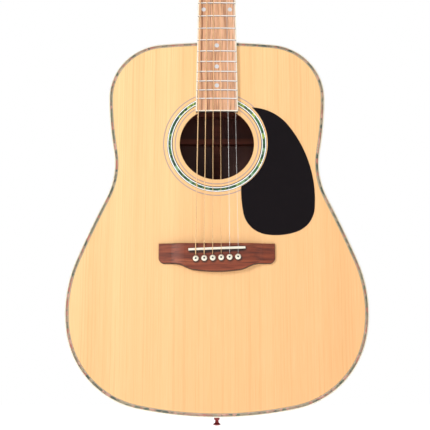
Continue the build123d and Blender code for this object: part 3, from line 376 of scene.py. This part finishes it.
def outline_points(step=radians(1.5)):
    """Points, outward directions and lengths along the treble half of the body, from the tail."""
    place, heading, length = Vector((0, BODY_TAIL_Z)), 0.0, 0.0
    points = []
    arcs = [(radius * MM, radians(turn)) for radius, turn in BODY_ARCS]
    turned = sum(turn if radius > 0 else -turn for radius, turn in arcs)
    closing = pi - turned
    for index in range(len(arcs) + 1):
        if index == len(arcs):
            radius, turn = place.x / sin(closing), closing
        else:
            radius, turn = arcs[index]
        size, sign = abs(radius), 1 if radius > 0 else -1
        centre = place + size * sign * Vector((-sin(heading), cos(heading)))
        count = max(2, round(turn / step))
        for tick in range(count):
            angle = heading + sign * turn * tick / count
            points.append((centre + size * sign * Vector((sin(angle), -cos(angle))),
                           Vector((sin(angle), -cos(angle))), length + size * turn * tick / count))
        heading += sign * turn
        place = centre + size * sign * Vector((sin(heading), -cos(heading)))
        length += size * turn
    points.append((place, Vector((sin(heading), -cos(heading))), length))
    return points


def new_piece(name, mesh, materials, body="guitar"):
    """An object for a new mesh, carried by a body."""
    piece = bpy.data.objects.new(name, mesh)
    bpy.context.scene.collection.objects.link(piece)
    for material in materials:
        mesh.materials.append(material)
    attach(piece, body)
    return piece


def make_strip(name, inset, width, depth, material):
    """A flat strip that follows the body's edge, flush with the soundboard and depth deep."""
    treble = outline_points()
    total = treble[-1][2]
    loop = [(point.x, point.y, out.x, out.y, length) for point, out, length in treble]
    loop += [(-point.x, point.y, -out.x, out.y, 2 * total - length) for point, out, length in treble[-2:0:-1]]
    mesh = bpy.data.meshes.new(name)
    form = bmesh.new()
    uv = form.loops.layers.uv.new("strip")
    rings = []
    for x, z, out_x, out_z, length in loop:
        near = (x - out_x * inset, z - out_z * inset)
        far = (x - out_x * (inset + width), z - out_z * (inset + width))
        rings.append([form.verts.new((near[0], 0, near[1])), form.verts.new((far[0], 0, far[1])),
                      form.verts.new((far[0], depth, far[1])), form.verts.new((near[0], depth, near[1]))])
    for index, ring in enumerate(rings):
        following = rings[(index + 1) % len(rings)]
        start = loop[index][4]
        end = loop[index + 1][4] if index + 1 < len(loop) else 2 * total
        for side in range(4):
            face = form.faces.new((ring[side], following[side], following[(side + 1) % 4],
                                   ring[(side + 1) % 4]))
            low, high = (0, width) if side in (0, 2) else (0, depth)
            for corner, value in zip(face.loops, ((start, low), (end, low), (end, high), (start, high))):
                corner[uv].uv = value
    bmesh.ops.recalc_face_normals(form, faces=form.faces)
    form.to_mesh(mesh)
    form.free()
    piece = new_piece(name, mesh, [material])
    return piece


def axis_frame(outward):
    """A frame whose third column is the given direction and whose first is +X where it can be."""
    outward = Vector(outward).normalized()
    across = Vector((1, 0, 0))
    return Matrix((across, outward.cross(across), outward)).transposed()


def lathe(name, profile, place, turned, materials, body, segments=40):
    """A turned piece from (radius, height, material index) rows; heights run along turned's third column."""
    mesh = bpy.data.meshes.new(name)
    form = bmesh.new()
    rings = []
    for radius, height, _ in profile:
        if radius < 1e-6:
            rings.append([form.verts.new(place + turned @ Vector((0, 0, height)))])
            continue
        rings.append([form.verts.new(place + turned @ Vector(
            (radius * cos(2 * pi * tick / segments), radius * sin(2 * pi * tick / segments), height)))
            for tick in range(segments)])
    for (lower, upper), (_, _, shade) in zip(zip(rings, rings[1:]), profile[1:]):
        for tick in range(segments):
            following = (tick + 1) % segments
            corners = [lower[tick % len(lower)], lower[following % len(lower)],
                       upper[following % len(upper)], upper[tick % len(upper)]]
            unique = list(dict.fromkeys(corners))
            if len(unique) > 2:
                face = form.faces.new(unique)
                face.material_index = shade
                face.smooth = True
    bmesh.ops.recalc_face_normals(form, faces=form.faces)
    form.to_mesh(mesh)
    form.free()
    piece = new_piece(name, mesh, materials, body)
    return piece


PIN_HEAD = 3.0 * MM
# Radius and height in mm, and the material: 0 the pin, 1 the dot.
PIN_POINT = [(0, 0, 0), (1.1, 0, 0), (2.0, 1, 0), (2.65, 11, 0)]
PIN_HEAD_ROWS = [(2.68, 0, 0), (3.5, 0, 0), (3.85, 0.25, 0), (3.88, 0.8, 0), (3.6, 1.4, 0), (2.9, 2.1, 0),
                 (2.0, 2.65, 0), (1.3, 2.85, 0), (1.3, 2.7, 1), (0.8, 2.92, 1), (0, 2.98, 1)]


def make_pins(cream, dot):
    """Round-headed pins with a dark dot let into each head."""
    for index in range(1, 7):
        low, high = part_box(f"bridge_pin_{index}")
        place = Vector(((low.x + high.x) / 2, high.y, (low.z + high.z) / 2))
        head = high.y - low.y - PIN_HEAD
        profile = [(radius * MM, height * MM, shade) for radius, height, shade in PIN_POINT]
        profile += [(radius * MM, head + height * MM, shade) for radius, height, shade in PIN_HEAD_ROWS]
        pin = lathe(f"pin_{index}_turned", profile, place, axis_frame((0, -1, 0)), [cream, dot],
                    f"pin_{index}")
        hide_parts(f"bridge_pin_{index}")


GAUGES = [0.30 * MM, 0.41 * MM, 0.61 * MM, 0.81 * MM, 1.07 * MM, 1.35 * MM]
POST_FOOT = -21.5 * MM           # heights over the headstock's face
POST_WHEEL_TOP = -15.5 * MM
POST_TIP = 14 * MM
POST_RADIUS = 3.0 * MM
POST_WAIST = 2.4 * MM
WHEEL_RADIUS = 4.4 * MM
WHEEL_GROOVE = 0.4 * MM
WINDING_HEIGHT = 8 * MM
WAIST_HALF = 2.4 * MM            # the waist's reach each side of the winding's height
HEAD_TILT = radians(14)
NUT_LENGTH = 6 * MM


def make_winding(name, place, turned, gauge, material, body):
    """Three turns of a string round its post, as a tube that climbs by its own thickness each turn."""
    mesh = bpy.data.meshes.new(name)
    form = bmesh.new()
    turns, steps, sides = 3, 28, 8     # steps in a turn, and sides of the tube
    radius = POST_WAIST + gauge / 2
    rings = []
    for tick in range(turns * steps + 1):
        angle = 2 * pi * tick / steps
        level = WINDING_HEIGHT + gauge * min(1.0, max(-1.0, tick / steps - turns / 2))
        outward = Vector((cos(angle), sin(angle), 0))
        ring = []
        for side in range(sides):
            lean = 2 * pi * side / sides
            ring.append(form.verts.new(place + turned @ (
                outward * (radius + gauge / 2 * cos(lean)) + Vector((0, 0, level + gauge / 2 * sin(lean))))))
        rings.append(ring)
    for lower, upper in zip(rings, rings[1:]):
        for side in range(sides):
            face = form.faces.new((lower[side], lower[(side + 1) % sides], upper[(side + 1) % sides],
                                   upper[side]))
            face.smooth = True
    form.faces.new(rings[0][::-1])
    form.faces.new(rings[-1])
    bmesh.ops.recalc_face_normals(form, faces=form.faces)
    form.to_mesh(mesh)
    form.free()
    piece = new_piece(name, mesh, [material], body)


def make_posts(chrome, brass, plain, wound):
    """String posts with a worm wheel at the foot, and the string wound three times round the waist."""
    joints = {joint["child"]: joint for joint in frame["joints"]}
    outward = Vector((0, -cos(HEAD_TILT), sin(HEAD_TILT)))
    for index, gauge in enumerate(GAUGES, 1):
        anchor = Vector(joints[f"post_{index}"]["pos_m"])
        height = (anchor - Vector((anchor.x, 0, NUT_LENGTH))).dot(outward)
        foot = anchor - outward * height
        turned = axis_frame(outward)
        low, high = WINDING_HEIGHT - WAIST_HALF, WINDING_HEIGHT + WAIST_HALF
        groove = WHEEL_RADIUS - WHEEL_GROOVE
        wheel = [(0, POST_FOOT, 1), (groove, POST_FOOT, 1), (WHEEL_RADIUS, POST_FOOT + 0.5 * MM, 1),
                 (groove, (POST_FOOT + POST_WHEEL_TOP) / 2, 1),
                 (WHEEL_RADIUS, POST_WHEEL_TOP - 0.5 * MM, 1), (groove, POST_WHEEL_TOP, 1)]
        shank = [(POST_RADIUS, POST_WHEEL_TOP, 1), (POST_RADIUS, low - 0.2 * MM, 0),
                 (POST_WAIST, low + 0.3 * MM, 0), (POST_WAIST, high - 0.3 * MM, 0),
                 (POST_RADIUS, high + 0.2 * MM, 0), (POST_RADIUS, POST_TIP - 0.6 * MM, 0),
                 (POST_RADIUS - 0.25 * MM, POST_TIP - 0.15 * MM, 0), (POST_RADIUS - 0.7 * MM, POST_TIP, 0),
                 (1.2 * MM, POST_TIP, 0), (1.0 * MM, POST_TIP - 0.5 * MM, 0), (0, POST_TIP - 0.6 * MM, 0)]
        post = lathe(f"post_{index}_turned", wheel + shank, foot, turned, [chrome, brass],
                     f"post_{index}")
        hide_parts(f"string_post_{index}")
        make_winding(f"winding_{index}", foot, turned, gauge, plain if index < 3 else wound,
                     f"post_{index}")


def paint(material, *names):
    """Give the material to every slot of these CAD nodes."""
    for name in names:
        for material_slot in NODES[name].material_slots:
            material_slot.material = material


def numbered(stem):
    """The names of six like nodes."""
    return [f"{stem}_{index}" for index in range(1, 7)]


# ---- Looks ----

spruce = make_spruce()
rosewood = make_wood("rosewood", [(0.25, rgb(58, 24, 20)), (0.5, rgb(88, 38, 28)), (0.75, rgb(120, 60, 40))],
                     (30, 30, 1.2), rgb(30, 12, 12), 0.7, roughness=0.4, coat=0.5,
                     unlacquered=rgb(84, 42, 34), matched=True)
mahogany = make_wood("mahogany", [(0.3, rgb(126, 66, 44)), (0.7, rgb(158, 90, 60))], (24, 24, 1.5),
                     rgb(96, 46, 32), 0.4, roughness=0.45, coat=0.3)
veneer = make_wood("veneer", [(0.25, rgb(52, 24, 20)), (0.5, rgb(78, 36, 27)), (0.75, rgb(104, 54, 38))],
                   (60, 30, 2.5), rgb(26, 12, 12), 0.7, roughness=0.4, coat=0.4)
inner_wood = make_wood("inner_wood", [(0.3, rgb(84, 44, 34)), (0.7, rgb(104, 56, 42))], (40, 40, 2),
                       rgb(66, 32, 26), 0.4, roughness=0.7)
back_wood = make_wood("back_wood", [(0.3, rgb(104, 52, 38)), (0.7, rgb(132, 66, 46))], (2, 40, 40),
                      rgb(60, 26, 20), 0.4, roughness=0.7)
brace_wood = make_wood("brace_wood", [(0.3, rgb(196, 150, 104)), (0.7, rgb(218, 176, 128))], (60, 60, 6),
                       rgb(168, 120, 78), 0.4, roughness=0.7)
board_wood = make_wood("board_wood", [(0.30, rgb(164, 112, 80)), (0.45, rgb(222, 168, 130)),
                                      (0.70, rgb(250, 202, 166))], (230, 60, 5), rgb(130, 82, 56), 0.85,
                       roughness=0.5, pores=(1500, 900, 60), pore_strength=0.4)
# The bridge's corners colour is painted shade round the pins and saddle and on its downward faces.
bridge_wood = make_wood("bridge_wood", [(0.28, rgb(92, 36, 20)), (0.5, rgb(134, 60, 34)),
                                        (0.72, rgb(166, 88, 54))], (7, 60, 130), rgb(58, 22, 16), 0.7,
                        roughness=0.5, pores=(60, 900, 1500), pore_strength=0.4, corners=rgb(40, 14, 8))
ivory = make_plastic("ivory", rgb(240, 232, 212), 0.3, coat=0.5, speckle=0.02)
bone = make_plastic("bone_white", rgb(246, 240, 224), 0.35, speckle=0.02)
cream = make_plastic("pin_cream", rgb(248, 240, 220), 0.25, coat=0.3, speckle=0.02)
dot_dark = make_plastic("pin_dot", rgb(70, 84, 84), 0.25, speckle=0.1)
pearl = make_plastic("pearl_dots", rgb(230, 230, 234), 0.2, coat=0.5, speckle=0.06)
red_plastic = make_plastic("end_pin_red", rgb(168, 54, 54), 0.3, coat=0.5, speckle=0.08)
guard_black = make_plastic("guard_black", rgb(25, 21, 24), 0.12, specular=0.5, speckle=0.04)
line_dark = make_plastic("line_dark", rgb(60, 48, 44), 0.35, coat=0.4)
line_pale = make_plastic("line_pale", rgb(232, 220, 196), 0.35, coat=0.4, speckle=0.02)
# The frets' downward flank is painted shade.
fret_metal = make_underside_shaded("fret_metal", rgb(255, 252, 248), rgb(84, 60, 50), "Z", (0.1, 0.3), 0.3, 0.1)
# The binding's downward end face is painted near black: partly painted shade, partly the board's dark wood at
# its end.
board_edge = make_underside_shaded("board_edge", rgb(248, 240, 222), rgb(40, 24, 20), "Z", (0.1, 0.3), 0.35)
steel = make_metal("steel_dull", rgb(190, 190, 192), 0.35)
chrome = make_metal("chrome_bright", rgb(232, 232, 236), 0.1)
brass = make_metal("brass_wheel", rgb(200, 160, 96), 0.3)
plain = make_metal("plain_wire", rgb(255, 254, 252), 0.22, brushed=(300, 300, 20), metallic=0.2)
wound = make_wound("wound_wire", rgb(255, 216, 162), rgb(204, 158, 110), 0.32 * MM)
shell = make_purfling_shell()
rings = make_rosette_shell()

paint(spruce, "soundboard")
paint(rosewood, "back", "side_bass", "side_treble", "heel_cap")
paint(mahogany, "neck")
paint(veneer, "headstock_veneer")
paint(inner_wood, "top_linings", "back_linings", "neck_block", "tail_block")
paint(back_wood, "back_braces", "back_strip")
paint(brace_wood, "x_brace", "top_braces", "bridge_plate")
paint(ivory, "top_binding", "back_binding")
paint(board_edge, "fingerboard_binding")
paint(rings, "rosette")
paint(board_wood, "fingerboard")
paint(bridge_wood, "bridge")
paint(bone, "saddle", "nut")
paint(pearl, "dot_inlays")
paint(red_plastic, "end_pin")
paint(guard_black, "pickguard")
paint(fret_metal, "frets")
paint(steel, "truss_rod", "truss_rod_nut")
paint(chrome, "tuner_housings", "tuner_bushings", "tuner_screws", *numbered("tuner_key"))
paint(plain, "string_1", "string_2")
paint(wound, *numbered("string")[2:])

strip_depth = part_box("top_purfling")[1].y
line_materials = {"line_dark": line_dark, "line_pale": line_pale, "shell": shell}
strips = [make_strip(f"purfling_{number}_{kind}", PURFLING_FROM + start * MM, (end - start) * MM,
                     strip_depth, line_materials[kind])
          for number, (start, end, kind) in enumerate(PURFLING_LINES, 1)]
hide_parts("top_purfling")
make_pins(cream, dot_dark)
make_posts(chrome, brass, plain, wound)


# ---- Stage ----

FLOOR_Z = -0.90
FLOOR_HALF = 6.0
FLOOR_GLOW = 0.8
WORLD_STRENGTH = 1.0

def make_floor():
    """A plain white floor, wide enough to fill the view."""
    mesh = bpy.data.meshes.new("floor")
    form = bmesh.new()
    bmesh.ops.create_grid(form, x_segments=8, y_segments=8, size=FLOOR_HALF)
    form.to_mesh(mesh)
    form.free()
    floor = bpy.data.objects.new("floor", mesh)
    floor.location = (0, 0, FLOOR_Z)
    bpy.context.scene.collection.objects.link(floor)
    material, tree, shader = new_material("floor_white", 0.9, specular=0.0)
    shade = noise(tree, stretched(tree, (0.4, 0.4, 0.4)), detail=2.0)
    tree.links.new(ramp(tree, shade, [(0.3, rgb(250, 250, 250)), (0.7, rgb(246, 246, 246))]),
                   shader.inputs["Base Color"])
    shader.inputs["Emission Color"].default_value = grey(1)
    shader.inputs["Emission Strength"].default_value = FLOOR_GLOW
    mesh.materials.append(material)


def make_world():
    """White behind the object, and a dimmer room in front of it for gloss to reflect."""
    world = bpy.data.worlds.new("studio")
    bpy.context.scene.world = world
    world.use_nodes = True
    tree = world.node_tree
    direction = node(tree, "ShaderNodeTexCoord").outputs["Generated"]
    backwards = node(tree, "ShaderNodeSeparateXYZ", {0: direction}).outputs["Y"]
    shade = mask(tree, halved(tree, backwards), (0.0, 0.08), (0.42, 0.12), (0.6, 0.4))
    seen = node(tree, "ShaderNodeLightPath").outputs["Is Camera Ray"]
    tree.links.new(mix(tree, seen, shade, grey(1)), tree.nodes["Background"].inputs["Color"])
    tree.nodes["Background"].inputs["Strength"].default_value = WORLD_STRENGTH


make_camera()
make_floor()
make_world()
make_area_light("key", (-1.35, -1.9, 0.1), (0, 0, -0.6), (0.8, 0.8), 30, (1.0, 0.98, 0.95))
make_area_light("fill", (1.7, -1.5, -0.2), (0, 0, -0.6), (1.4, 1.4), 6)
make_area_light("top", (0.0, -1.1, 1.0), (0, 0, -0.4), (1.4, 0.9), 1.5)
make_area_light("back_fill", (0.0, 2.4, 0.2), (0, 0.1, -0.4), (2.0, 1.6), 10)
bpy.context.scene.view_settings.view_transform = "Standard"
